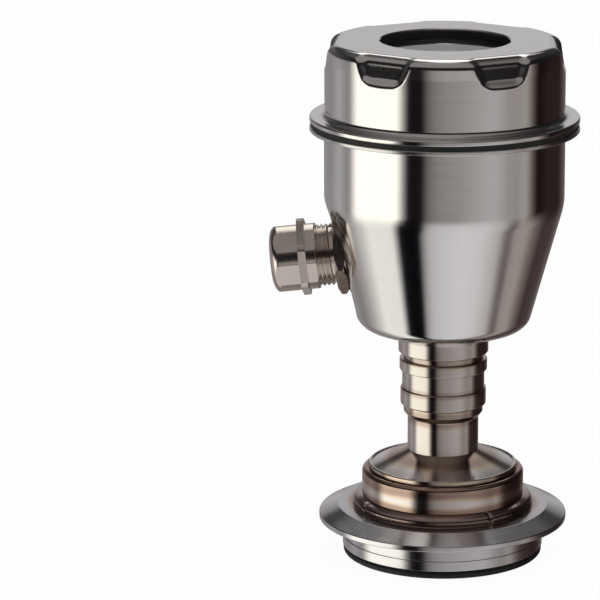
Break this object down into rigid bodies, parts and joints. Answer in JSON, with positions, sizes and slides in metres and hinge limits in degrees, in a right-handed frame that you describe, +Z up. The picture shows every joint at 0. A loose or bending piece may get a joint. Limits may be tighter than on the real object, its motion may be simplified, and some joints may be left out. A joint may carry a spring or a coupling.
{
  "type": "pressure transmitter",
  "caption": "Hygienic pressure transmitter: flanged process connection with diaphragm, swivelling steel housing, screw cover with window, and cable gland.",
  "frame": {"origin": "centre of the sealing diaphragm, on the front face of the process connection", "axes": "+Z up the neck towards the cover, -X along the cable gland, which is tilted 6 degrees down"},
  "size_m": [0.1036, 0.09, 0.1765],
  "materials": {
    "base_steel": "turned, with brown weld tint",
    "seal_rubber": "matt black",
    "membrane_steel": "pickled",
    "inner_steel": "satin",
    "capsule_steel": "satin",
    "gold_pins": "gold plated",
    "board_green": "solder mask",
    "cable_grey": "matt jacket",
    "neck_steel": "fine turned",
    "housing_steel": "satin drawn sheet",
    "cover_steel": "satin with bright pockets",
    "gland_nickel": "nickel plated",
    "insert_rubber": "matt",
    "cage_plastic": "moulded",
    "carrier_plastic": "fine grain",
    "screw_steel": "zinc plated",
    "block_plastic": "moulded",
    "lcd_grey": "glossy",
    "window": "clear",
    "switch_black": "moulded",
    "key_grey": "moulded"
  },
  "bodies": {
    "base": {"process_flange": "base_steel", "process_seal": "seal_rubber", "diaphragm": "membrane_steel", "backing_plate": "inner_steel", "sensor_capsule": "capsule_steel", "header_pins": "gold_pins", "capsule_clamp_ring": "inner_steel", "cell_board": "board_green", "cell_body": "base_steel", "sensor_cable": "cable_grey", "neck_tube": "neck_steel", "lower_collar": "neck_steel", "swivel_sleeve": "neck_steel", "neck_o_ring": "seal_rubber", "thrust_washer": "inner_steel", "retaining_ring": "inner_steel"},
    "housing": {"housing_socket": "neck_steel", "swivel_stop_pin": "inner_steel", "housing_cup": "housing_steel", "housing_rim": "housing_steel", "gland_boss": "housing_steel", "gland_body": "gland_nickel", "gland_washer": "seal_rubber", "gland_locknut": "gland_nickel", "sealing_insert": "insert_rubber", "support_ring": "inner_steel", "terminal_carrier": "carrier_plastic", "carrier_screws": "screw_steel", "terminal_board": "board_green", "terminal_block": "block_plastic", "terminal_screws": "screw_steel", "board_spacers": "inner_steel", "main_board": "board_green", "display_housing": "carrier_plastic", "lcd_panel": "lcd_grey", "display_lens": "window", "key_switches": "switch_black", "cable_plug": "carrier_plastic"},
    "gland_clamp": {"clamping_cage": "cage_plastic"},
    "dome_nut": {"dome_nut": "gland_nickel"},
    "cover_lift": {"cover_gasket": "seal_rubber"},
    "cover": {"cover": "cover_steel", "window_gasket": "seal_rubber", "window_glass": "window", "window_retainer": "inner_steel"},
    "key_mode": {"key_mode": "key_grey"},
    "key_down": {"key_down": "key_grey"},
    "key_up": {"key_up": "key_grey"}
  },
  "joints": [
    {"name": "housing_swivel", "type": "hinge", "parent": "base", "child": "housing", "pos_m": [0, 0, 0.07], "axis": [0, 0, 1], "range_deg": [-165, 165]},
    {"name": "gland_clamp_slide", "type": "slide", "parent": "housing", "child": "gland_clamp", "axis": [-0.9945, 0, -0.1045], "range_m": [0, 0.0046]},
    {"name": "dome_nut_turn", "type": "hinge", "parent": "gland_clamp", "child": "dome_nut", "pos_m": [-0.05271, 0, 0.10186], "axis": [-0.9945, 0, -0.1045], "range_deg": [0, 1080]},
    {"name": "cover_rise", "type": "slide", "parent": "housing", "child": "cover_lift", "axis": [0, 0, 1], "range_m": [0, 0.0081]},
    {"name": "cover_turn", "type": "hinge", "parent": "cover_lift", "child": "cover", "pos_m": [0, 0, 0.16], "axis": [0, 0, 1], "range_deg": [0, 1440]},
    {"name": "key_mode_press", "type": "slide", "parent": "housing", "child": "key_mode", "axis": [0, 0, -1], "range_m": [0, 0.0008], "stiffness_N_per_m": 1200},
    {"name": "key_down_press", "type": "slide", "parent": "housing", "child": "key_down", "axis": [0, 0, -1], "range_m": [0, 0.0008], "stiffness_N_per_m": 1200},
    {"name": "key_up_press", "type": "slide", "parent": "housing", "child": "key_up", "axis": [0, 0, -1], "range_m": [0, 0.0008], "stiffness_N_per_m": 1200}
  ],
  "couplings": [
    {"joint": "gland_clamp_slide", "follows": "dome_nut_turn", "m_per_rad": 0.00023873},
    {"joint": "cover_rise", "follows": "cover_turn", "m_per_rad": 0.00031831}
  ]
}
